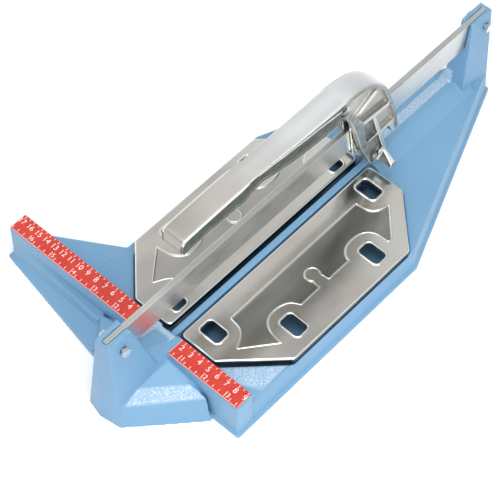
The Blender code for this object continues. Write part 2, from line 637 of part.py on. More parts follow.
def wheel_group():
    """The scoring wheel, and the bolt and nut that it turns on."""
    edge = WHEEL_HALF_THICKNESS
    bore = WHEEL_BOLT_RADIUS + GAP
    profile = [(WHEEL_RADIUS - 1.5, -edge), (WHEEL_RADIUS, 0), (WHEEL_RADIUS - 1.5, edge), (bore, edge),
               (bore, -edge)]
    wheel = turned("scoring_wheel", profile, (0, *WHEEL_AXIS), "X", 32, hard_metal())
    set_origin(wheel, (0, *WHEEL_AXIS))
    seat = WEB_X[1] + GAP
    head = prism("wheel_bolt", hexagon(3.6, WHEEL_AXIS), -seat - 2.6, -seat, "X", zinc())
    join(head, rod("wheel_shank", WHEEL_BOLT_RADIUS, -seat - 1.0, seat + 3.4, WHEEL_AXIS, "X", 16))
    nut = prism("wheel_nut", hexagon(3.6, WHEEL_AXIS), seat, seat + 2.6, "X", zinc())
    cut(nut, rod("wheel_nut_bore", bore, seat - 2.0, seat + 5.0, WHEEL_AXIS, "X", 16))
    spacers = [ring(f"wheel_spacer_{word}", bore, 3.4, low, high, WHEEL_AXIS, "X", zinc(), 16) for word, low, high in
               (("left", -WEB_X[0] + GAP, -edge - GAP), ("right", edge + GAP, WEB_X[0] - GAP))]
    return [wheel, head, nut, *spacers]


def return_spring():
    """The spring between the saddle's bridge and the head's roof, which lifts the lever."""
    coil("return_spring", 4.2, 0.8, SADDLE_TOP + GAP, 151.0, 5, (0.0, RETURN_SPRING_Y), zinc())


def build():
    clear_scene()
    base_casting()
    rulers()
    guide_bar()
    bar_fasteners()
    sprung_plate("left", -1)
    sprung_plate("right", 1)
    saddle()
    rollers()
    fulcrum_pin()
    hang_on_pivot([handle_casting(), *wheel_group()])
    return_spring()


build()
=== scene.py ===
"""The looks of the tile cutter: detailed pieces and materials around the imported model.

Lengths are millimetres in the builders below, and MM turns them into the frame's metres. +Y runs along
the guide bar away from the fence, +X points to the right and +Z is up.
"""

import json
import math

import bmesh
import bpy
import numpy as np
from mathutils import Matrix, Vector
from mathutils.geometry import delaunay_2d_cdt

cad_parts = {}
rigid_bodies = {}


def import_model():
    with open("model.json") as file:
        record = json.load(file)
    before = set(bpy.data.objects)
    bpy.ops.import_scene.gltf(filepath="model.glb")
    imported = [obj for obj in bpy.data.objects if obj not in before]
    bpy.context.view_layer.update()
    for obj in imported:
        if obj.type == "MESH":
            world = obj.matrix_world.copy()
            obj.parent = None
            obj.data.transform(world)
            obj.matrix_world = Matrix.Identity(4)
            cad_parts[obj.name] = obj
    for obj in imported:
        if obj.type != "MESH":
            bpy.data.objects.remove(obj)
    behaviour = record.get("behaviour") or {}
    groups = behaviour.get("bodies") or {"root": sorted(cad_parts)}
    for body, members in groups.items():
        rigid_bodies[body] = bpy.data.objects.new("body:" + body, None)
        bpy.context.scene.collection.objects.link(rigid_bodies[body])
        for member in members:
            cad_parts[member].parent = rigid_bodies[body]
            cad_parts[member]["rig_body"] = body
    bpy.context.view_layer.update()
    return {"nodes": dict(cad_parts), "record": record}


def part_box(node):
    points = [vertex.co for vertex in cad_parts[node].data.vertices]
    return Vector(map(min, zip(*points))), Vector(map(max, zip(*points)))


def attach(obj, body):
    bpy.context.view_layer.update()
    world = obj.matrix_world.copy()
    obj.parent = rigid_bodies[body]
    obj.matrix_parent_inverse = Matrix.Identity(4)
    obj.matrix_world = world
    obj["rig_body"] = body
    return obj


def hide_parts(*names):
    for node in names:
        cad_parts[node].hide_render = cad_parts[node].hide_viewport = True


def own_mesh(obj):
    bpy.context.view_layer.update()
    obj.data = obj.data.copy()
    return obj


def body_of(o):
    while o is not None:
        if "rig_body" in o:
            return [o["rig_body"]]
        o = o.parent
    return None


MM = 0.001

CAMERA_AT = (0.6017, -0.5574, 1.3282)
CAMERA_AZIMUTH = math.radians(42.56)
CAMERA_ELEVATION = math.radians(55.08)
CAMERA_LENS = 132.6


# ---------------------------------------------------------------- colour and materials

def srgb(red, green, blue):
    """A display colour from 0 to 255 as the linear colour that shaders take."""
    def linear(value):
        share = value / 255
        return share / 12.92 if share <= 0.04045 else ((share + 0.055) / 1.055) ** 2.4

    return (linear(red), linear(green), linear(blue), 1.0)


class Recipe:
    """A Principled material and short calls that add nodes to it. Patterns lie in object space, in metres."""

    def __init__(self, name, metallic=0.0, **sockets):
        self.material = bpy.data.materials.new(name)
        self.material.use_nodes = True
        self.tree = self.material.node_tree
        self.shader = self.tree.nodes["Principled BSDF"]
        self.shader.inputs["Metallic"].default_value = metallic
        for socket, value in sockets.items():
            self.shader.inputs[socket.replace("_", " ")].default_value = value
        self.place = self.node("ShaderNodeTexCoord").outputs["Object"]

    def node(self, kind, **settings):
        made = self.tree.nodes.new(kind)
        for name, value in settings.items():
            setattr(made, name, value)
        return made

    def feed(self, socket, value):
        """Links an output to a socket, or sets the socket to a plain value."""
        if isinstance(value, bpy.types.NodeSocket):
            self.tree.links.new(value, socket)
        else:
            socket.default_value = value

    def stretched(self, stretch):
        mapping = self.node("ShaderNodeMapping")
        mapping.inputs["Scale"].default_value = stretch
        self.feed(mapping.inputs["Vector"], self.place)
        return mapping.outputs["Vector"]

    def noise(self, scale, detail=3.0, stretch=(1, 1, 1), roughness=0.5):
        made = self.node("ShaderNodeTexNoise")
        self.feed(made.inputs["Vector"], self.stretched(stretch))
        made.inputs["Scale"].default_value = scale
        made.inputs["Detail"].default_value = detail
        made.inputs["Roughness"].default_value = roughness
        return made.outputs["Fac"]

    def attribute(self, name):
        return self.node("ShaderNodeAttribute", attribute_name=name).outputs["Fac"]

    def axis(self, index):
        split = self.node("ShaderNodeSeparateXYZ")
        self.feed(split.inputs[0], self.place)
        return split.outputs[index]

    def spread(self, value, low, high, to_low=0.0, to_high=1.0):
        made = self.node("ShaderNodeMapRange")
        for socket, given in zip(("Value", "From Min", "From Max", "To Min", "To Max"),
                                 (value, low, high, to_low, to_high)):
            self.feed(made.inputs[socket], given)
        return made.outputs["Result"]

    def maths(self, operation, first, second=0.0):
        made = self.node("ShaderNodeMath", operation=operation)
        self.feed(made.inputs[0], first)
        self.feed(made.inputs[1], second)
        return made.outputs[0]

    def mix(self, share, first, second):
        made = self.node("ShaderNodeMix", data_type="RGBA")
        self.feed(made.inputs["Factor"], share)
        self.feed(made.inputs[6], first)
        self.feed(made.inputs[7], second)
        return made.outputs[2]

    def edges(self, low=0.52, high=0.62):
        """1 along convex edges and 0 on flats and in corners."""
        return self.spread(self.node("ShaderNodeNewGeometry").outputs["Pointiness"], low, high)

    def finish(self, colour, roughness, height=None, depth=0.0001, strength=1.0):
        self.feed(self.shader.inputs["Base Color"], colour)
        self.feed(self.shader.inputs["Roughness"], roughness)
        if height is not None:
            bump = self.node("ShaderNodeBump")
            bump.inputs["Distance"].default_value = depth
            bump.inputs["Strength"].default_value = strength
            self.feed(bump.inputs["Height"], height)
            self.feed(self.shader.inputs["Normal"], bump.outputs["Normal"])
        return self.material


def blue_paint():
    """Satin paint over a casting: painted highlights on its edges, painted shade in its corners, hammer-textured
    patches with painted glints where the speckle attribute is above zero, and painted shade where the shade attribute
    is set.
    """
    r = Recipe("blue_paint")
    tone = r.spread(r.noise(9, 2), 0.3, 0.7)
    plain = r.mix(tone, srgb(104, 147, 180), srgb(112, 155, 187))
    # painted highlight: convex edges of the paint made lighter
    plain = r.mix(r.spread(r.edges(0.53, 0.6), 0, 1, 0, 0.6), plain, srgb(160, 195, 220))
    # painted shade: concave corners and creases made darker
    plain = r.mix(r.spread(r.edges(0.495, 0.45), 0, 1, 0, 0.35), plain, srgb(82, 122, 164))
    grain = r.noise(1500, 2)
    dots = r.spread(r.noise(760, 3, roughness=0.65), 0.4, 0.62)
    # hammer-textured patches: the bump is the texture itself, and the light dots are painted glints of light on it
    hammered_glints = r.mix(dots, srgb(132, 170, 202), srgb(196, 212, 226))
    patch_breakup = r.spread(r.noise(90, 2), 0.2, 0.5, 0.75, 1)
    patch = r.maths("MULTIPLY", r.spread(r.attribute("speckle"), -0.4, 1.2), patch_breakup)
    height = r.mix(patch, r.spread(grain, 0, 1, 0.45, 0.55), dots)
    roughness = r.spread(r.noise(40, 3), 0.3, 0.7, 0.36, 0.46)
    # painted shade: dark navy for the wells and the gaps under the plates, laid on where the shade attribute is set
    thin = r.mix(r.spread(r.noise(50, 3), 0.35, 0.65), srgb(26, 44, 66), srgb(38, 62, 90))
    colour = r.mix(r.attribute("shade"), r.mix(patch, plain, hammered_glints), thin)
    return r.finish(colour, roughness, height, 0.00025, 0.6)


def red_strip():
    """Printed red film, a little uneven, with scattered paler flecks."""
    r = Recipe("red_strip")
    tone = r.spread(r.noise(60, 3), 0.35, 0.65)
    colour = r.mix(tone, srgb(186, 46, 34), srgb(197, 56, 42))
    colour = r.mix(r.spread(r.noise(700, 2), 0.62, 0.75, 0, 0.35), colour, srgb(222, 128, 114))
    return r.finish(colour, r.spread(r.noise(200, 2), 0.3, 0.7, 0.35, 0.5), r.noise(900, 2), 0.00005, 0.4)


def ruler_ink():
    """The rules' pale print, thin in places."""
    r = Recipe("ruler_ink")
    colour = r.mix(r.spread(r.noise(1400, 2), 0.35, 0.6), srgb(240, 196, 188), srgb(250, 240, 236))
    return r.finish(colour, 0.5, r.noise(1500, 1), 0.00002, 0.3)


def plate_steel():
    """Polished sheet with fine rolling lines along it and faint smears; a painted dark reflection in the pressed field,
    a painted lighter reflection on the far border, painted highlights on the rim and bead, and painted shade on the
    skirt.
    """
    r = Recipe("plate_steel", metallic=1.0)
    lines = r.noise(260, 2, (9, 0.35, 1))
    smear = r.noise(14, 3)
    cloud = r.spread(r.noise(11, 2, (2.2, 0.8, 1)), 0.34, 0.66)
    border = r.mix(cloud, srgb(190, 188, 182), srgb(228, 223, 215))
    border = r.mix(r.spread(smear, 0.55, 0.75, 0, 0.6), border, srgb(236, 233, 226))
    # painted reflection: the border made lighter towards its far end
    border = r.mix(r.spread(r.axis(1), 0.14, 0.2, 0, 0.85), border, srgb(246, 243, 236))
    # painted reflection: the pressed field made darker, as dark parts above reflect in it
    field = r.mix(cloud, srgb(138, 142, 140), srgb(192, 190, 184))
    colour = r.mix(r.attribute("field"), border, field)
    # painted highlight along the rim, the raised bead of the field and the window flanges
    colour = r.mix(r.maths("MULTIPLY", r.attribute("painted_highlight"), 0.7), colour, srgb(252, 254, 248))
    # painted shade on the rolled-down skirt under the rim
    colour = r.mix(r.attribute("skirt_shade"), colour, srgb(44, 54, 66))
    roughness = r.maths("ADD", r.spread(smear, 0.3, 0.7, 0.16, 0.22), r.spread(lines, 0.3, 0.7, -0.02, 0.03))
    return r.finish(colour, roughness, lines, 0.00001, 0.3)


def bar_steel():
    """Ground flat steel, brushed along the bar, with soft clouds in its tone and roughness."""
    r = Recipe("bar_steel", metallic=1.0)
    lines = r.noise(900, 3, (1, 0.02, 1))
    clouds = r.noise(22, 3, (1, 0.5, 1))
    colour = r.mix(r.spread(clouds, 0.3, 0.7), srgb(190, 193, 193), srgb(218, 219, 216))
    colour = r.mix(r.spread(lines, 0.35, 0.7, 0, 0.3), colour, srgb(228, 228, 224))
    roughness = r.maths("ADD", r.spread(clouds, 0.3, 0.7, 0.26, 0.34), r.spread(lines, 0.3, 0.7, -0.03, 0.05))
    return r.finish(colour, roughness, lines, 0.00003, 0.5)


def zinc():
    """Bright zinc plate with a faint bluish bloom."""
    r = Recipe("zinc", metallic=1.0)
    bloom = r.noise(180, 3)
    colour = r.mix(r.spread(bloom, 0.35, 0.65), srgb(216, 216, 212), srgb(242, 241, 234))
    return r.finish(colour, r.spread(bloom, 0.3, 0.7, 0.18, 0.3), r.noise(1600, 2), 0.00003, 0.4)


def hard_metal():
    """Dark ground metal, unevenly brighter in places."""
    r = Recipe("hard_metal", metallic=1.0)
    wear = r.noise(300, 3)
    colour = r.mix(r.spread(wear, 0.4, 0.6), srgb(92, 94, 98), srgb(132, 134, 136))
    return r.finish(colour, r.spread(wear, 0.3, 0.7, 0.22, 0.4), r.noise(1800, 2), 0.00002, 0.4)


def cast_aluminium():
    """Satin cast aluminium: fine sand grain, painted shade on walls, flanks and bays, a painted highlight along the
    crest and in lines, and bright edges of rubbed metal with a painted highlight.
    """
    r = Recipe("cast_aluminium", metallic=1.0)
    grain = r.noise(1300, 3)
    cloud = r.noise(30, 3)
    mottle = r.spread(r.noise(150, 3), 0.35, 0.65)
    colour = r.mix(r.spread(cloud, 0.3, 0.7), srgb(200, 196, 189), srgb(214, 210, 205))
    colour = r.mix(r.attribute("handled"), colour, srgb(178, 174, 165))
    # painted highlight along the crest
    colour = r.mix(r.attribute("crest_highlight"), colour, srgb(244, 247, 248))
    # painted shade on the head's flanks
    colour = r.mix(r.attribute("flank_shade"), colour, r.mix(mottle, srgb(132, 137, 136), srgb(164, 169, 168)))
    # painted shade in the head's bays and on the wings
    colour = r.mix(r.attribute("bay"), colour, r.mix(mottle, srgb(106, 110, 110), srgb(150, 152, 150)))
    # painted shade on the grip's and neck's side walls
    colour = r.mix(r.attribute("wall"), colour, r.mix(mottle, srgb(82, 90, 86), srgb(104, 112, 106)))
    # bright convex edges: rubbed metal, with a painted highlight on it
    colour = r.mix(r.spread(r.edges(0.515, 0.58), 0, 1, 0, 0.85), colour, srgb(240, 243, 236))
    # painted highlight: lines along the ledge, lip and top edge, the rib tops and the wings' upper faces
    colour = r.mix(r.attribute("painted_highlight"), colour, srgb(244, 248, 240))
    roughness = r.maths("ADD", r.spread(grain, 0.3, 0.7, 0.36, 0.48), r.spread(cloud, 0.3, 0.7, 0, 0.04))
    return r.finish(colour, roughness, grain, 0.00006, 0.5)


def spring_wire():
    r = Recipe("spring_wire", metallic=1.0)
    wear = r.noise(400, 2)
    colour = r.mix(r.spread(wear, 0.4, 0.6), srgb(130, 134, 138), srgb(176, 178, 178))
    return r.finish(colour, r.spread(wear, 0.3, 0.7, 0.25, 0.4), wear, 0.00002, 0.3)


# ---------------------------------------------------------------- mesh builders, in millimetres

def place(name, shape, finish=None):
    """A bmesh in millimetres becomes an object in metres."""
    bmesh.ops.remove_doubles(shape, verts=shape.verts, dist=1e-4)
    bmesh.ops.recalc_face_normals(shape, faces=shape.faces)
    bmesh.ops.scale(shape, vec=(MM, MM, MM), verts=shape.verts)
    mesh = bpy.data.meshes.new(name)
    shape.to_mesh(mesh)
    shape.free()
    made = bpy.data.objects.new(name, mesh)
    bpy.context.scene.collection.objects.link(made)
    if finish:
        mesh.materials.append(finish)
    return made


def prism(name, outline, low, high, axis="Z", finish=None):
    """An outline drawn out along an axis: in (x, y) for Z, (y, z) for X and (x, z) for Y."""
    def corner(p, level):
        return {"Z": (p[0], p[1], level), "X": (level, p[0], p[1]), "Y": (p[0], level, p[1])}[axis]

    shape = bmesh.new()
    lower = [shape.verts.new(corner(p, low)) for p in outline]
    upper = [shape.verts.new(corner(p, high)) for p in outline]
    shape.faces.new(lower)
    shape.faces.new(upper)
    for i in range(len(outline)):
        j = (i + 1) % len(outline)
        shape.faces.new((lower[i], lower[j], upper[j], upper[i]))
    return place(name, shape, finish)


def box(name, low, high):
    outline = [(low[0], low[1]), (high[0], low[1]), (high[0], high[1]), (low[0], high[1])]
    return prism(name, outline, low[2], high[2])


def hull(name, points):
    shape = bmesh.new()
    corners = [shape.verts.new(p) for p in points]
    result = bmesh.ops.convex_hull(shape, input=corners)
    spare = {v for v in result["geom_interior"] + result["geom_unused"] if isinstance(v, bmesh.types.BMVert)}
    bmesh.ops.delete(shape, geom=list(spare), context="VERTS")
    return place(name, shape)


def arc(centre, radius, start, end, steps):
    turns = [math.radians(start + (end - start) * k / steps) for k in range(steps + 1)]
    return [(centre[0] + radius * math.cos(t), centre[1] + radius * math.sin(t)) for t in turns]


def rounded(outline, radius, steps=4):
    """Rounds each corner of an outline. A corner may carry its own radius as a third number."""
    made = []
    count = len(outline)
    for i, corner in enumerate(outline):
        here = Vector(corner[:2])
        before = Vector(outline[i - 1][:2]) - here
        after = Vector(outline[(i + 1) % count][:2]) - here
        want = corner[2] if len(corner) > 2 else radius
        if want == 0:
            made.append(tuple(here))
            continue
        angle = before.angle(after)
        reach = min(want / math.tan(angle / 2), before.length * 0.49, after.length * 0.49)
        a, b = here + before.normalized() * reach, here + after.normalized() * reach
        for k in range(steps + 1):
            t = k / steps
            made.append(tuple(a * (1 - t) ** 2 + here * 2 * t * (1 - t) + b * t ** 2))
    return made


def shrunk(outline, inset):
    """An outline drawn in by an inset, or let out by a negative one. It keeps its number of points."""
    count = len(outline)
    area = sum(outline[i][0] * outline[(i + 1) % count][1] - outline[(i + 1) % count][0] * outline[i][1]
               for i in range(count))
    turn = 1 if area > 0 else -1
    made = []
    for i in range(count):
        here = Vector(outline[i])
        one = (here - Vector(outline[i - 1])).normalized()
        two = (Vector(outline[(i + 1) % count]) - here).normalized()
        normal = Vector((-(one.y + two.y), one.x + two.x))
        if normal.length < 1e-9:
            made.append(tuple(here))
            continue
        normal.normalize()
        lean = max(0.5, normal.dot(Vector((-one.y, one.x))))
        made.append(tuple(here + normal * turn * inset / lean))
    return made


def flowing(points, steps=4):
    """A smooth open line through some points."""
    ends = [Vector(p) for p in (points[0], *points, points[-1])]
    line = []
    for a, b, c, d in zip(ends, ends[1:], ends[2:], ends[3:]):
        for k in range(steps):
            t = k / steps
            line.append(tuple(0.5 * ((2 * b) + (c - a) * t + (2 * a - 5 * b + 4 * c - d) * t ** 2
                                     + (3 * b - a - 3 * c + d) * t ** 3)))
    return line + [tuple(points[-1])]


def settled(made):
    """Applies an object's modifiers to its mesh."""
    graph = bpy.context.evaluated_depsgraph_get()
    mesh = bpy.data.meshes.new_from_object(made.evaluated_get(graph))
    made.modifiers.clear()
    made.data = mesh
    return made


def combine(target, others, operation):
    """Joins, cuts or keeps the shared part of solids, and removes the ones that were used up."""
    for other in others:
        step = target.modifiers.new(operation.lower(), "BOOLEAN")
        step.operation = operation
        step.solver = "EXACT"
        step.object = other
        settled(target)
        bpy.data.objects.remove(other, do_unlink=True)
    return target


def join(target, *others):
    return combine(target, others, "UNION")


def cut(target, *others):
    return combine(target, others, "DIFFERENCE")


def cast(made, voxel, smoothing):
    """Closes any open edge, then rounds every corner as a casting has it, on a fine mesh of even cells."""
    shape = bmesh.new()
    shape.from_mesh(made.data)
    bmesh.ops.holes_fill(shape, edges=[edge for edge in shape.edges if edge.is_boundary])
    shape.to_mesh(made.data)
    shape.free()
    remesh = made.modifiers.new("cells", "REMESH")
    remesh.mode = "VOXEL"
    remesh.voxel_size = voxel * MM
    soften = made.modifiers.new("soften", "SMOOTH")
    soften.factor = 0.5
    soften.iterations = smoothing
    return settled(made)


def thinned(made, keep):
    """Leaves fewer faces where a mesh is flat."""
    fewer = made.modifiers.new("fewer", "DECIMATE")
    fewer.ratio = keep
    settled(made)
    made.data.shade_smooth()
    return made


def bevelled(made, width, segments=2, angle=35):
    step = made.modifiers.new("bevel", "BEVEL")
    step.width = width * MM
    step.segments = segments
    step.limit_method = "ANGLE"
    step.angle_limit = math.radians(angle)
    step.harden_normals = True
    made.data.shade_smooth()
    return made


def dressed(made, finish):
    made.data.materials.clear()
    made.data.materials.append(finish)
    return made


def stands_for(made, node, body):
    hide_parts(node)
    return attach(made, body)


def per_vertex(made, name, values):
    """Stores one number for each vertex, which a material reads by name."""
    stored = made.data.attributes.new(name, "FLOAT", "POINT")
    stored.data.foreach_set("value", np.asarray(values, np.float32))


def points_of(made):
    """The vertices in millimetres, one row each."""
    flat = np.zeros(len(made.data.vertices) * 3, np.float32)
    made.data.vertices.foreach_get("co", flat)
    return flat.reshape(-1, 3) / MM


def ramp(values, none, full):
    """0 where a value is at none, 1 where it is at full, and a straight line between."""
    return np.clip((values - none) / (full - none), 0, 1)


def band(distance, width):
    """1 on a line, falling off smoothly to both sides of it."""
    return np.exp(-(distance / width) ** 2)


def inside_distance(points, outline):
    """How far inside a convex outline each point lies, in millimetres; negative outside it."""
    area = sum(a[0] * b[1] - b[0] * a[1] for a, b in zip(outline, outline[1:] + outline[:1]))
    least = np.full(len(points), np.inf)
    for a, b in zip(outline, outline[1:] + outline[:1]):
        along = np.array(b, float) - np.array(a, float)
        along /= np.linalg.norm(along)
        normal = np.array([-along[1], along[0]]) * (1 if area > 0 else -1)
        least = np.minimum(least, (points - np.array(a, float)) @ normal)
    return least


def nearest(points, line):
    """The distance from each point to a line of points, and the outward direction of the line there."""
    best = np.full(len(points), np.inf)
    outward = np.zeros((len(points), 2))
    for a, b in zip(line, line[1:]):
        a, b = np.array(a, float), np.array(b, float)
        share = np.clip((points - a) @ (b - a) / max((b - a) @ (b - a), 1e-9), 0, 1)
        length = np.linalg.norm(a + share[:, None] * (b - a) - points, axis=1)
        closer = length < best
        best[closer] = length[closer]
        outward[closer] = np.array((a[1] - b[1], b[0] - a[0])) / max(np.linalg.norm(b - a), 1e-6)
    return best, outward


def within(point, outline):
    """True if a point lies inside an outline."""
    inside = False
    for (ax, ay), (bx, by) in zip(outline, outline[1:] + outline[:1]):
        if (ay > point[1]) != (by > point[1]) and point[0] < (bx - ax) * (point[1] - ay) / (by - ay) + ax:
            inside = not inside
    return inside


def depth_inside(points, outline):
    """How far inside any closed outline each point lies, in millimetres; negative outside it."""
    distance, _ = nearest(points, outline + outline[:1])
    return np.where([within(point, outline) for point in points], distance, -distance)


# ---------------------------------------------------------------- base

SPECKLED = [  # outline on the table, then the heights between which the paint is hammer-textured and carries painted glints
    ([(14.5, -53), (43, -22), (62, -20), (17, -71)], 24, 31),
    ([(-17, -21), (8.4, -21), (8.4, -0.5), (-18, -0.5)], 30, 45),
    ([(44, 1.5), (58, 1.5), (88, 16), (88, 58), (46, 8)], 23.5, 26),
    ([(-3.6, 252), (-17.0, 252), (-17.0, 369), (-3.6, 369)], 24, 33),
    ([(-1.5, 369), (-15.0, 369), (-22.0, 392), (-4.0, 388)], 24, 45),
]
BASE_VOXEL, BASE_SMOOTHING, BASE_KEEP = 0.8, 4, 0.35
CORNER_DIP = [(72, 10, 26), (91, 29.5, 26), (91, 3, 26), (72, 10, 24.45), (91, 29.5, 24.45), (91, 3, 22.2)]
OPENING_MARGIN = 0.7
# Each opening's side, the height of its floor, and the x that it starts and ends at.
OPENINGS = ((1, 15.0, 3.5, 88.4), (-1, 15.0, -84.0, -3.5), (1, 22.6, 88.0, 94.0))
# The heights between which the painted shade in the wells fades in, and the distances from the middle that it takes up.
WELL_FADE, WELL_SPAN = (20.6, 19.0), (3.4, 88.5)
# the heights and start of the shelf under the right plate's rim that gets painted shade
SHELF_HEIGHTS, SHELF_START = (21.0, 24.0), 88.0


def openings():
    """Wells a little wider than the plates, so that a gap shows round them, and a shelf by the right wall."""
    made = []
    for side, floor_height, near, far in OPENINGS:
        outline = [(x * side, y) for x, y in shrunk(plate_edge(side), -OPENING_MARGIN)]
        opening = prism("opening", outline, floor_height, 30.0)
        made.append(combine(opening, [box("limit", (near, 0, 10), (far, 260, 32))], "INTERSECT"))
    return made


def hammered_depth(where):
    """How far inside a hammer-textured patch with painted glints each point lies, in millimetres; negative outside
    them.
    """
    depths = []
    for outline, low, high in SPECKLED:
        level = np.minimum(where[:, 2] - low, high - where[:, 2])
        depths.append(np.minimum(inside_distance(where[:, :2], outline), level))
    return np.max(depths, axis=0)


def base_body():
    """The painted casting: the CAD body with its plate openings, rounded as a casting, with painted shade in its wells
    and in the gaps and on the shelf under the plates.
    """
    made = bpy.data.objects.new("base_body", frame["nodes"]["base_casting"].data.copy())
    bpy.context.scene.collection.objects.link(made)
    cut(made, hull("corner_dip", CORNER_DIP), *openings())
    thinned(cast(made, BASE_VOXEL, BASE_SMOOTHING), BASE_KEEP)
    where = points_of(made)
    x, z = np.abs(where[:, 0]), where[:, 2]
    # painted shade: dark under the plates, in the wells and on the shelf by the right wall
    under = np.max([inside_distance(where[:, :2] * (side, 1), plate_edge(side)) for side in (1, -1)], axis=0)
    deep = ramp(under, -1.2, 0) * np.clip(1.4 - under / 10, 0.45, 1) * ramp(z, *WELL_FADE)
    shelf = ramp(under, 0.3, 0.6) * (z > SHELF_HEIGHTS[0]) * (z < SHELF_HEIGHTS[1]) * (x > SHELF_START)
    per_vertex(made, "shade", np.maximum(deep * (x > WELL_SPAN[0]) * (x < WELL_SPAN[1]), shelf))
    # where the hammer-textured patches and their painted glints go
    per_vertex(made, "speckle", np.clip(hammered_depth(where), -2, 2))
    dressed(made, PAINTS["blue_paint"])
    return stands_for(made, "base_casting", "base")


# ---------------------------------------------------------------- rulers

RULER_NEAR, RULER_FAR, RULER_TOP = -18.4, -0.2, 43.5


def ruler(word, low, high, marks):
    """A printed strip with rounded corners, and its lines as thin raised ink."""
    outline = rounded([(low, RULER_NEAR), (high, RULER_NEAR), (high, RULER_FAR), (low, RULER_FAR)], 1.6, 4)
    strip = prism(f"ruler_strip_{word}", outline, 42.8, RULER_TOP)
    dressed(bevelled(strip, 0.3), PAINTS["red_strip"])
    stands_for(strip, f"ruler_{word}", "base")
    ink = bmesh.new()
    for x0, x1, ya, yb in marks:
        corners = [ink.verts.new((x, y, RULER_TOP + 0.04)) for x, y in ((x0, ya), (x1, ya), (x1, yb), (x0, yb))]
        ink.faces.new(corners)
    lines = place(f"ruler_lines_{word}", ink, PAINTS["ruler_ink"])
    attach(lines, "base")


def figure(name, text, x, y, size):
    """One printed figure, flat on a rule, as a mesh."""
    curve = bpy.data.curves.new(name, "FONT")
    curve.body = text
    curve.size = size * MM
    curve.align_x = "CENTER"
    curve.align_y = "CENTER"
    curve.extrude = 0.02 * MM
    curve.offset = -0.02 * MM
    made = bpy.data.objects.new(name, curve)
    bpy.context.scene.collection.objects.link(made)
    made.location = (x * MM, y * MM, (RULER_TOP + 0.03) * MM)
    bpy.context.view_layer.update()
    mesh = bpy.data.meshes.new_from_object(made.evaluated_get(bpy.context.evaluated_depsgraph_get()))
    mesh.transform(made.matrix_world)
    bpy.data.objects.remove(made, do_unlink=True)
    solid = bpy.data.objects.new(name, mesh)
    bpy.context.scene.collection.objects.link(solid)
    dressed(solid, PAINTS["ruler_ink"])
    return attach(solid, "base")


def rulers():
    """Centimetres run along the far edge of each rule and inches along its near edge."""
    for word, side, first, last, low, high in (("right", 1, 2, 9, 15.0, 92.0), ("left", -1, 2, 17, -173.0, -13.5)):
        marks = [(low + 1.2, high - 1.2, -18.15, -17.8), (low + 0.15, low + 0.45, -17, -1.6),
                 (high - 0.45, high - 0.15, -17, -1.6)]
        for k in range(first * 2 - 1, last * 2 + 1):
            x = side * k * 5.0
            length = 2.6 if k % 2 == 0 else 1.8
            marks.append((x - 0.28, x + 0.28, -0.6 - length, -0.6))
        for k in range(1, 28):
            x = side * k * 6.35
            if low + 1 < x < high - 1:
                length = 5.4 if k % 4 == 0 else 2.6
                marks.append((x - 0.28, x + 0.28, -17.0, -17.0 + length))
        ruler(word, low, high, marks)
        for k in range(first, last + 1):
            figure(f"figure_{word}_cm_{k}", str(k), side * k * 10.0 + 0.3, -6.9, 7.4)
        for k in range(1, 7):
            x = side * k * 25.4
            if low + 4 < x < high - 4:
                figure(f"figure_{word}_inch_{k}", str(k), x + 2.7, -14.2, 6.4)


# ---------------------------------------------------------------- plates

PLATE_TOP = 31.6
PLATE_INNER = {1: 4.6, -1: 7.6}
PLATE_OUTER = 91.0
PLATE_Y = (6.5, 248.5)
PLATE_CHAMFER = 47.0
LEFT_NEAR_CHAMFER = 43.0
WINDOWS = ((23.5, 28.0), (68.0, 78.0), (69.0, 178.0), (22.5, 228.0))
WINDOW_SIZE = (21.0, 14.0)
LEFT_WINDOW_SHIFT = 2.5
SHEET_THICKNESS = 0.8
# how strongly the painted dark reflection shows in each plate's pressed field
FIELD_SHADE = {1: 1.0, -1: 0.45}
# how bright the painted highlight along the plate's rim is
RIM_HIGHLIGHT = 1.4
# Sections across the sheet's shaped edges: how far inside the outline, then the height above the flat top.
PLATE_RIM = [(0.0, -4.4), (0.05, -2.2), (0.2, -1.4), (0.45, -0.8), (0.8, -0.4), (1.2, -0.16), (1.7, -0.03), (2.2, 0.0),
             (2.7, 0.0)]
FIELD_STEP = [(-1.6, 0.0), (-1.1, 0.0), (-0.75, 0.12), (-0.4, 0.26), (0.0, 0.16), (0.4, -0.2), (0.75, -0.5),
              (1.1, -0.7), (1.6, -0.7)]
WINDOW_FLANGE = [(-2.9, 0.0), (-2.4, 0.0), (-2.0, 0.1), (-1.4, 0.42), (-0.9, 0.5), (-0.4, 0.28), (-0.15, -0.1),
                 (-0.04, -0.7), (0.0, -2.4)]


def plate_edge(side):
    x0, x1 = PLATE_INNER[side], PLATE_OUTER
    y0, y1 = PLATE_Y
    c, n = PLATE_CHAMFER, PLATE_CHAMFER if side > 0 else LEFT_NEAR_CHAMFER
    return rounded([(x0, y0, 6), (x1 - n, y0, 5), (x1, y0 + n, 5), (x1, y1 - c, 5), (x1 - c, y1, 5), (x0, y1, 6)], 4, 6)


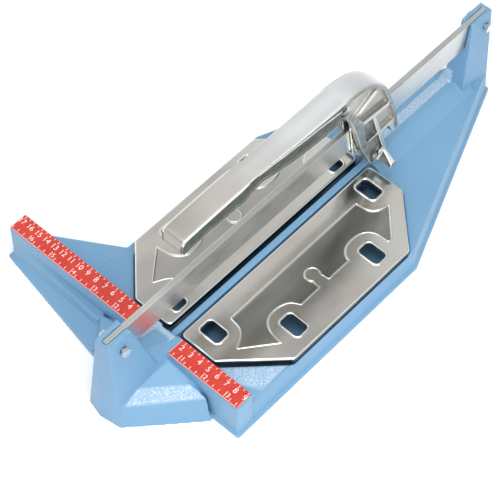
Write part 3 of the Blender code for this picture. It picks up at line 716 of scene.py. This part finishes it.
def field_edge():
    """The pressed field: one closed line that bends round each window, with a keyhole bay."""
    def bend(*points):
        return [(x, y, 0) for x, y in flowing(points, 6)[1:-1]]

    return rounded([
        (25.0, 47.6, 1.2), *bend((25.0, 47.6), (31.4, 46.8), (36.6, 45.6), (41.0, 42.2), (44.6, 37.4), (48.7, 29.4)),
        (48.7, 29.0, 1.0), (71.8, 58.0, 1.2),
        *bend((71.8, 58.0), (64.0, 58.8), (57.0, 60.6), (50.4, 65.0), (46.6, 72.0), (46.0, 79.6), (47.6, 87.0),
              (51.4, 93.2), (58.8, 97.6)),
        (58.8, 97.6, 1.2), (58.8, 121.2, 1.2), (53.6, 121.2, 1.0),
        *[(x, y, 0) for x, y in arc((45.6, 127.0), 7.0, -42, -318, 22)],
        (53.6, 132.8, 1.0), (58.8, 133.0, 1.2), (58.8, 158.7, 1.2),
        *bend((58.8, 158.7), (54.6, 160.2), (50.0, 164.2), (47.0, 171.0), (46.6, 180.0), (48.4, 188.0), (52.4, 193.2),
              (59.7, 196.4), (70.6, 197.0)),
        (70.8, 197.0, 1.0), (70.8, 201.4, 1.2), (46.0, 227.6, 1.0),
        *bend((46.0, 227.6), (44.6, 220.0), (40.6, 213.0), (35.0, 210.0), (28.7, 208.9), (24.6, 208.6)),
        (24.4, 208.6, 1.2)], 2.0, 4)


def window_edge(x, y):
    w, h = WINDOW_SIZE[0] / 2, WINDOW_SIZE[1] / 2
    return rounded([(x - w, y - h), (x + w, y - h), (x + w, y + h), (x - w, y + h)], 4.0, 6)


def pressed_plate(word, side):
    """A pressed plate: rolled-down rim, stepped field and flanged windows, in one sheet."""
    edge, field = plate_edge(side), field_edge()
    holes = [window_edge(x + (LEFT_WINDOW_SHIFT if side < 0 and x > 50 else 0.0), y) for x, y in WINDOWS]
    sections = [(edge, PLATE_RIM), (field, FIELD_STEP)] + [(hole, WINDOW_FLANGE) for hole in holes]
    points, edges = [], []
    for outline, section in sections:
        for inset, _ in section:
            ring = shrunk(outline, inset)
            start, count = len(points), len(ring)
            points += [Vector(point) for point in ring]
            edges += [(start + i, start + (i + 1) % count) for i in range(count)]
    flat, _, faces, _, _, _ = delaunay_2d_cdt(points, edges, [], 0, 1e-5)
    spots = np.array([tuple(point) for point in flat])
    levels = sum(np.interp(depth_inside(spots, outline), *zip(*section)) for outline, section in sections)
    shape = bmesh.new()
    corners = [shape.verts.new((p.x * side, p.y, PLATE_TOP + level)) for p, level in zip(flat, levels)]
    for face in faces:
        middle = sum((flat[i] for i in face), Vector((0, 0))) / len(face)
        if within(middle, edge) and not any(within(middle, hole) for hole in holes):
            shape.faces.new([corners[i] for i in face])
    bmesh.ops.delete(shape, geom=[v for v in shape.verts if not v.link_faces], context="VERTS")
    made = place(f"pressed_plate_{word}", shape, PAINTS["plate_steel"])
    if made.data.polygons[0].normal.z < 0:
        made.data.flip_normals()
    where = points_of(made)
    height = where[:, 2] - PLATE_TOP
    to_edge = depth_inside(where[:, :2] * (side, 1), edge)
    pressed = [within((abs(x), y), field) and PLATE_TOP - z > 0.4 for x, y, z in where]
    # painted reflection: where the pressed field is darkened, more strongly on the right plate
    per_vertex(made, "field", np.array(pressed) * FIELD_SHADE[side])
    # painted shade: the skirt below the rim
    per_vertex(made, "skirt_shade", (to_edge < 0.3) * (height < -0.6))
    # painted highlight: raised beads and flanges, and a line just inside the rim
    per_vertex(made, "painted_highlight", np.maximum(height > 0.2, RIM_HIGHLIGHT * (to_edge < 1.4) * (to_edge > 0.3)))
    thick = made.modifiers.new("sheet", "SOLIDIFY")
    thick.thickness = SHEET_THICKNESS * MM
    thick.offset = -1
    made.data.shade_smooth()
    even = made.modifiers.new("even", "WEIGHTED_NORMAL")
    even.weight = 100
    return stands_for(made, f"plate_{word}", f"{word}_plate")


# ---------------------------------------------------------------- guide bar

def ground_bar():
    low, high = (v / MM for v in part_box("guide_bar"))
    h, c = high.x, 0.55
    section = [(-h + c, low.z), (h - c, low.z), (h, low.z + c), (h, high.z - c), (h - c, high.z),
               (-h + c, high.z), (-h, high.z - c), (-h, low.z + c)]
    bar = prism("ground_bar", section, low.y, high.y, "Y", PAINTS["bar_steel"])
    bevelled(bar, 0.12, 2, 20)
    return stands_for(bar, "guide_bar", "base")


# ---------------------------------------------------------------- lever

GRIP_HALF = 11.5
NECK_HALF = 10.2
HEAD_HALF = 12.5
LEVER_VOXEL, LEVER_SMOOTHING, LEVER_KEEP = 0.42, 2, 0.4
NECK_CROWN, HEAD_CROWN = 0.5, 1.9
LIP_GROOVE, LEDGE_GROOVE = 0.5, 0.6
# how bright the painted highlight on the head's ribs is
RIB_HIGHLIGHT = 0.55
# Where the lever's handled wear, painted highlight and painted shade start and where they are full: along the bar, out
# from the middle, or in from the crest.
HEAD_START, GRIP_WEAR, CREST_HIGHLIGHT = (199.0, 204.0), (72.0, 12.0), (60.0, 160.0)
RIB_FACE, BAY_FLOOR, NECK_FACE, NECK_WALL, WING_ROOT = (11.7, 12.2), (12.2, 11.6), (9.6, 10.0), (9.2, 9.9), (12.8, 13.2)
CREST, BELOW_WALL, BELOW_FLANK, BELOW_BAY, BELOW_RIBS = (1.6, 0.8), (0.9, 1.7), (0.8, 2.0), (1.6, 2.8), (6.5, 7.5)
FULCRUM = (272.0, 70.6)
WHEEL_AXIS = (247.0, 51.0)
LEVER_TOP = [(9.0, 163.0), (10.2, 165.4), (13.5, 166.6), (30, 167.5), (50, 168.2), (70, 168.6), (90, 168.6),
             (118, 167.8), (145, 166.8), (172, 166.3), (195, 166.3), (208, 166.2), (220, 164.7), (232, 160.6),
             (244, 153.0), (254.5, 141.2), (260.8, 129.5), (266.3, 114.8), (271.5, 97.6), (275.6, 82.0), (276.8, 74.0)]
LEVER_UNDER = [(12.0, 150.2), (30.0, 151.4), (50.0, 151.6), (68.0, 150.8), (80.0, 150.0), (90.0, 150.6), (98.5, 153.4),
               (104.0, 153.4), (111.0, 151.4), (123.0, 149.0), (135.0, 146.4), (147.0, 145.0), (159.0, 144.3),
               (172.0, 143.6), (184.0, 143.0), (192.0, 145.2)]
LEVER_LEDGE = [(97.0, 166.9), (110.6, 165.9), (122.5, 164.6), (134.5, 163.6), (146.6, 162.8), (158.8, 162.0),
               (171.1, 161.2), (183.5, 160.2), (203.0, 158.6)]
LEVER_LEG = [(197.0, 145.6), (201.5, 143.4), (206.6, 137.0), (213.0, 123.6), (218.0, 108.6), (223.4, 90.0),
             (229.0, 74.0), (234.6, 61.0), (239.0, 51.0)]


def lever_shell():
    """Grip, neck and head in one smooth side outline, inside a plan that widens at both ends."""
    side = (flowing(LEVER_TOP) + arc(FULCRUM, 4.8, 0, -150, 10) + [(265.2, 75.6), (263.4, 79.0), (260.0, 81.4)]
            + [(252.4, 81.8), (256.6, 68.0), (260.7, 55.0), (261.4, 51.0), (260.4, 45.4)]
            + flowing([(246.0, 44.9), (241.4, 46.6), (239.2, 50.0)], 3) + flowing(LEVER_LEG[::-1], 3)
            + flowing(LEVER_UNDER[::-1], 3) + flowing([(9.6, 150.6), (8.2, 153.0), (7.9, 157.0)], 3))
    shell = prism("lever_body", side, -HEAD_HALF, HEAD_HALF, "X")
    half = (arc((GRIP_HALF - 2.5, 9.5), 2.5, -90, 0, 4) + flowing([(GRIP_HALF, 60.0), (GRIP_HALF, 76.0), (10.9, 86.0),
            (NECK_HALF, 95.0), (12.1, 196.0), (HEAD_HALF, 204.0), (HEAD_HALF, 285.0)], 5))
    return combine(shell, [prism("plan", half + [(-x, y) for x, y in reversed(half)], 20.0, 180.0)], "INTERSECT")


def lever_hollows():
    """The channel under the grip and neck, the space between the webs, and the bores."""
    grip = [(12.0, 120.0), (12.0, 163.4), (50.0, 165.6), (80.0, 166.0), (80.0, 120.0)]
    neck = [(72.0, 120.0), (72.0, 165.8), (100.0, 165.8), (145.0, 164.2), (205.0, 162.4), (205.0, 120.0)]
    inner = [(190.0, 30.0), (190.0, 120.0), (196.0, 162.0), (208.0, 162.2), (219.0, 160.8), (230.0, 157.2),
             (241.0, 150.2), (251.0, 137.5), (260.5, 116.5), (260.5, 113.5), (290.0, 113.5), (290.0, 30.0)]
    return [prism("grip_hollow", grip, -GRIP_HALF + 2.4, GRIP_HALF - 2.4, "X"),
            prism("neck_hollow", neck, -NECK_HALF + 2.4, NECK_HALF - 2.4, "X"),
            prism("head_hollow", inner, -6.2, 6.2, "X"),
            prism("fulcrum_bore", arc(FULCRUM, 2.5, 0, 345, 23), -30.0, 10.8, "X"),
            prism("wheel_bore", arc(WHEEL_AXIS, 2.3, 0, 345, 23), -30.0, 30.0, "X")]


def lever_pockets(side):
    """Open bays between thin ribs on the outside of the head."""
    head = [
        [(207.4, 163.0), (205.0, 159.6), (206.0, 153.6), (209.8, 143.2), (214.8, 134.6), (240.4, 148.0), (237.2, 152.2),
         (230.2, 157.2), (222.0, 160.8), (214.0, 162.6)],
        [(217.8, 131.2), (218.6, 129.4), (226.0, 118.2), (259.4, 114.8), (259.6, 117.2), (255.8, 126.6),
         (251.2, 137.6), (247.4, 143.4), (243.6, 144.4)],
        [(226.6, 113.4), (238.6, 112.0), (247.4, 84.2), (232.9, 84.2), (231.2, 90.0)],
        [(233.1, 83.0), (247.8, 82.9), (252.6, 68.0), (256.2, 57.0), (254.4, 54.6), (251.8, 53.6), (251.4, 47.2),
         (245.5, 47.0), (241.5, 49.5), (239.7, 58.0), (235.6, 72.0)],
        [(242.0, 111.6), (261.8, 110.4), (268.4, 93.6), (269.8, 84.5), (252.0, 84.0)],
    ]
    cutters = [prism("bay", rounded(bay, 1.6, 3), 8.2 * side, 15.0 * side, "X") for bay in head]
    joint = [[(196.4, 158.8), (202.2, 160.0), (203.2, 155.4), (196.0, 155.8)],
             [(195.6, 154.4), (203.4, 154.0), (206.0, 147.4), (200.0, 148.4), (195.4, 151.0)]]
    cutters += [prism("joint_bay", rounded(bay, 0.8, 3), 9.6 * side, 15.0 * side, "X") for bay in joint]
    return cutters


def wing(side):
    """A breaker wing: tall where it leaves the leg, with a skewed, flat foot at its tip."""
    points = [(8.6, 249.7, 44.8), (8.6, 260.8, 45.4), (8.6, 258.8, 53.4), (8.6, 260.8, 53.4), (27.3, 249.9, 43.9),
              (26.0, 258.1, 43.9), (26.5, 252.2, 46.6), (26.2, 257.9, 46.6)]
    return hull("wing", [(x * side, y, z) for x, y, z in points])


def ledge_height(along):
    """The height of the lever's side ledge at a place along the bar."""
    y, z = zip(*LEVER_LEDGE)
    return np.interp(along, y, z)


def crowned(made):
    """Rounds the crest of the lever over and sinks a groove along its ledge and its lip."""
    where = points_of(made)
    x, y = np.abs(where[:, 0]), where[:, 1]
    to_top, up = nearest(where[:, 1:], flowing(LEVER_TOP))
    to_lip, _ = nearest(where[:, 1:], flowing(LEVER_UNDER))
    to_ledge, _ = nearest(where[:, 1:], flowing(LEVER_LEDGE))
    crown = (NECK_CROWN + HEAD_CROWN * ramp(y, 190, 215)) * (x / HEAD_HALF) ** 4 * ramp(to_top, 4.6, 0.6)
    above = where[:, 2] > ledge_height(y)
    groove = LIP_GROOVE * band(to_lip - 2.3, 0.7) + LEDGE_GROOVE * band(to_ledge - 1.1, 0.6) * above
    groove *= ramp(x, 9.3, 9.8) * (y < 192)
    where[:, 1:] -= up * crown[:, None]
    where[:, 0] -= np.sign(where[:, 0]) * groove
    made.data.vertices.foreach_set("co", (where * MM).astype(np.float32).ravel())
    return made


def lever_tones(made):
    """Where the lever is handled, and where painted highlights and painted shade lie on it, as numbers on its vertices.
    """
    where = points_of(made)
    x, y, z = np.abs(where[:, 0]), where[:, 1], where[:, 2]
    to_top, to_lip, to_ledge, to_leg = (nearest(where[:, 1:], flowing(line))[0]
                                        for line in (LEVER_TOP, LEVER_UNDER, LEVER_LEDGE, LEVER_LEG))
    at_head, rib_face, on_wing = ramp(y, *HEAD_START), ramp(x, *RIB_FACE), ramp(x, *WING_ROOT)
    upward = np.array([vertex.normal.z for vertex in made.data.vertices])
    # painted highlight lines: the ledge, the lip and the top edge of the side walls
    lines = np.max([band(to_ledge, 0.55), band(to_lip, 0.8), band(to_top - 0.5, 0.6)], axis=0)
    ribs = at_head * rib_face * ramp(to_top, *BELOW_RIBS) * ramp(to_leg, 9, 11) * (1 - on_wing)
    per_vertex(made, "painted_highlight", np.max([lines * ramp(x, *NECK_FACE) * (1 - at_head), ribs * RIB_HIGHLIGHT,
                                      on_wing * ramp(upward, 0.75, 0.9)], axis=0))
    per_vertex(made, "handled", ramp(y, *GRIP_WEAR))
    # painted highlight along the crest, growing towards the head and weaker on the grip's sides
    crest_shine = np.minimum(ramp(y, *CREST_HIGHLIGHT), 0.9) * (1 - 0.4 * ramp(x, 2, 10) * (1 - at_head))
    per_vertex(made, "crest_highlight", crest_shine * ramp(to_top, *CREST))
    # painted shade: the side walls of the grip and neck, with a lighter painted line along the lip
    wall = ramp(x, *NECK_WALL) * ramp(to_top, *BELOW_WALL) * (1 - at_head)
    per_vertex(made, "wall", wall * (1 - 0.45 * band(to_lip - 3.6, 0.9)))
    # painted shade: the floors of the head's bays and the wings, deeper low on the head near the leg
    bay = np.maximum(ramp(x, *BAY_FLOOR) * ramp(to_top, *BELOW_BAY) * at_head, on_wing * 0.7)
    leg = ramp(z, 114, 110) * ramp(y + (z - 84) * 0.36, 250, 248)
    per_vertex(made, "bay", bay * (0.35 + 0.5 * leg))
    # painted shade: the outer faces of the head
    per_vertex(made, "flank_shade", rib_face * ramp(to_top, *BELOW_FLANK) * at_head)


def lever_body():
    """The cast lever, with its wings, hollows and bays, in one smooth skin."""
    made = join(lever_shell(), wing(1), wing(-1))
    cut(made, *lever_hollows(), *lever_pockets(1), *lever_pockets(-1))
    thinned(crowned(cast(made, LEVER_VOXEL, LEVER_SMOOTHING)), LEVER_KEEP)
    lever_tones(made)
    dressed(made, PAINTS["cast_aluminium"])
    return stands_for(made, "handle_casting", "lever")


# ---------------------------------------------------------------- small CAD pieces


def coils():
    """Each coil keeps its CAD shape, as its own copy in spring wire on the body that holds it."""
    for joint in frame["record"]["behaviour"]["joints"]:
        for entry in joint.get("deforming_nodes", []):
            node = frame["nodes"][entry["node"]]
            made = bpy.data.objects.new(f"{entry['node']}_wire", node.data.copy())
            bpy.context.scene.collection.objects.link(made)
            dressed(made, PAINTS["spring_wire"])
            (body,) = body_of(node)
            stands_for(made, entry["node"], body)
            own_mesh(made)


def finish_cad_pieces():
    """The other small pieces keep their CAD shapes, with broken edges and finishes of their own."""
    by_slot = {"zinc": PAINTS["zinc"], "hard_metal": PAINTS["hard_metal"]}
    slots = {entry["node"]: entry["material_slot"] for entry in frame["record"]["subparts"]}
    for name, node in frame["nodes"].items():
        if slots[name] in by_slot and "spring" not in name:
            bevelled(dressed(node, by_slot[slots[name]]), 0.25, 2, 40)


# ---------------------------------------------------------------- stage

def floor():
    sheet = bmesh.new()
    bmesh.ops.create_grid(sheet, x_segments=1, y_segments=1, size=3.0)
    mesh = bpy.data.meshes.new("floor")
    sheet.to_mesh(mesh)
    sheet.free()
    made = bpy.data.objects.new("floor", mesh)
    bpy.context.scene.collection.objects.link(made)
    made.location.z = -0.0002
    r = Recipe("floor")
    mesh.materials.append(r.finish(r.mix(r.noise(2, 1), srgb(246, 246, 246), srgb(250, 250, 250)), 0.9))


def area_light(name, at, towards, size, power, spread):
    data = bpy.data.lights.new(name, "AREA")
    data.shape = "RECTANGLE"
    data.size, data.size_y = size
    data.energy = power
    data.spread = math.radians(spread)
    lamp = bpy.data.objects.new(name, data)
    bpy.context.scene.collection.objects.link(lamp)
    lamp.location = at
    lamp.rotation_euler = (Vector(towards) - Vector(at)).to_track_quat("-Z", "Y").to_euler()


def studio():
    """A tent of soft light: bright overhead and to the left, darker high behind the tool on its right."""
    world = bpy.data.worlds.new("studio")
    world.use_nodes = True
    tree = world.node_tree
    direction = tree.nodes.new("ShaderNodeTexCoord").outputs["Generated"]
    along = tree.nodes.new("ShaderNodeVectorMath")
    along.operation = "DOT_PRODUCT"
    along.inputs[1].default_value = Vector((0.25, 0.72, 0.55)).normalized()
    tree.links.new(direction, along.inputs[0])
    shade = tree.nodes.new("ShaderNodeMapRange")
    for socket, value in zip(("From Min", "From Max", "To Min", "To Max"), (0.2, 1.0, 0.95, 0.5)):
        shade.inputs[socket].default_value = value
    tree.links.new(along.outputs["Value"], shade.inputs["Value"])
    background = tree.nodes["Background"]
    background.inputs["Color"].default_value = (0.98, 0.985, 1.0, 1)
    tree.links.new(shade.outputs["Result"], background.inputs["Strength"])
    bpy.context.scene.world = world
    area_light("key", (0.35, -0.1, 1.7), (0, 0.15, 0.05), (1.3, 1.3), 19, 180)
    area_light("side", (1.1, -0.35, 0.75), (0.16, 0.1, 0.0), (0.5, 0.5), 0.7, 50)
    bpy.context.scene.view_settings.view_transform = "Standard"
    bpy.context.scene.view_settings.look = "None"


def camera():
    data = bpy.data.cameras.new("camera")
    data.lens = CAMERA_LENS
    data.sensor_width = 36.0
    made = bpy.data.objects.new("camera", data)
    bpy.context.scene.collection.objects.link(made)
    made.location = CAMERA_AT
    a, e = CAMERA_AZIMUTH, CAMERA_ELEVATION
    ahead = Vector((-math.sin(a) * math.cos(e), math.cos(a) * math.cos(e), -math.sin(e)))
    made.rotation_mode = "QUATERNION"
    made.rotation_quaternion = ahead.to_track_quat("-Z", "Y")
    bpy.context.scene.camera = made


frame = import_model()
PAINTS = {recipe.__name__: recipe() for recipe in (blue_paint, red_strip, ruler_ink, plate_steel, bar_steel, zinc,
                                                   hard_metal, cast_aluminium, spring_wire)}
camera()
studio()
floor()
base_body()
rulers()
pressed_plate("left", -1)
pressed_plate("right", 1)
ground_bar()
lever_body()
coils()
finish_cad_pieces()
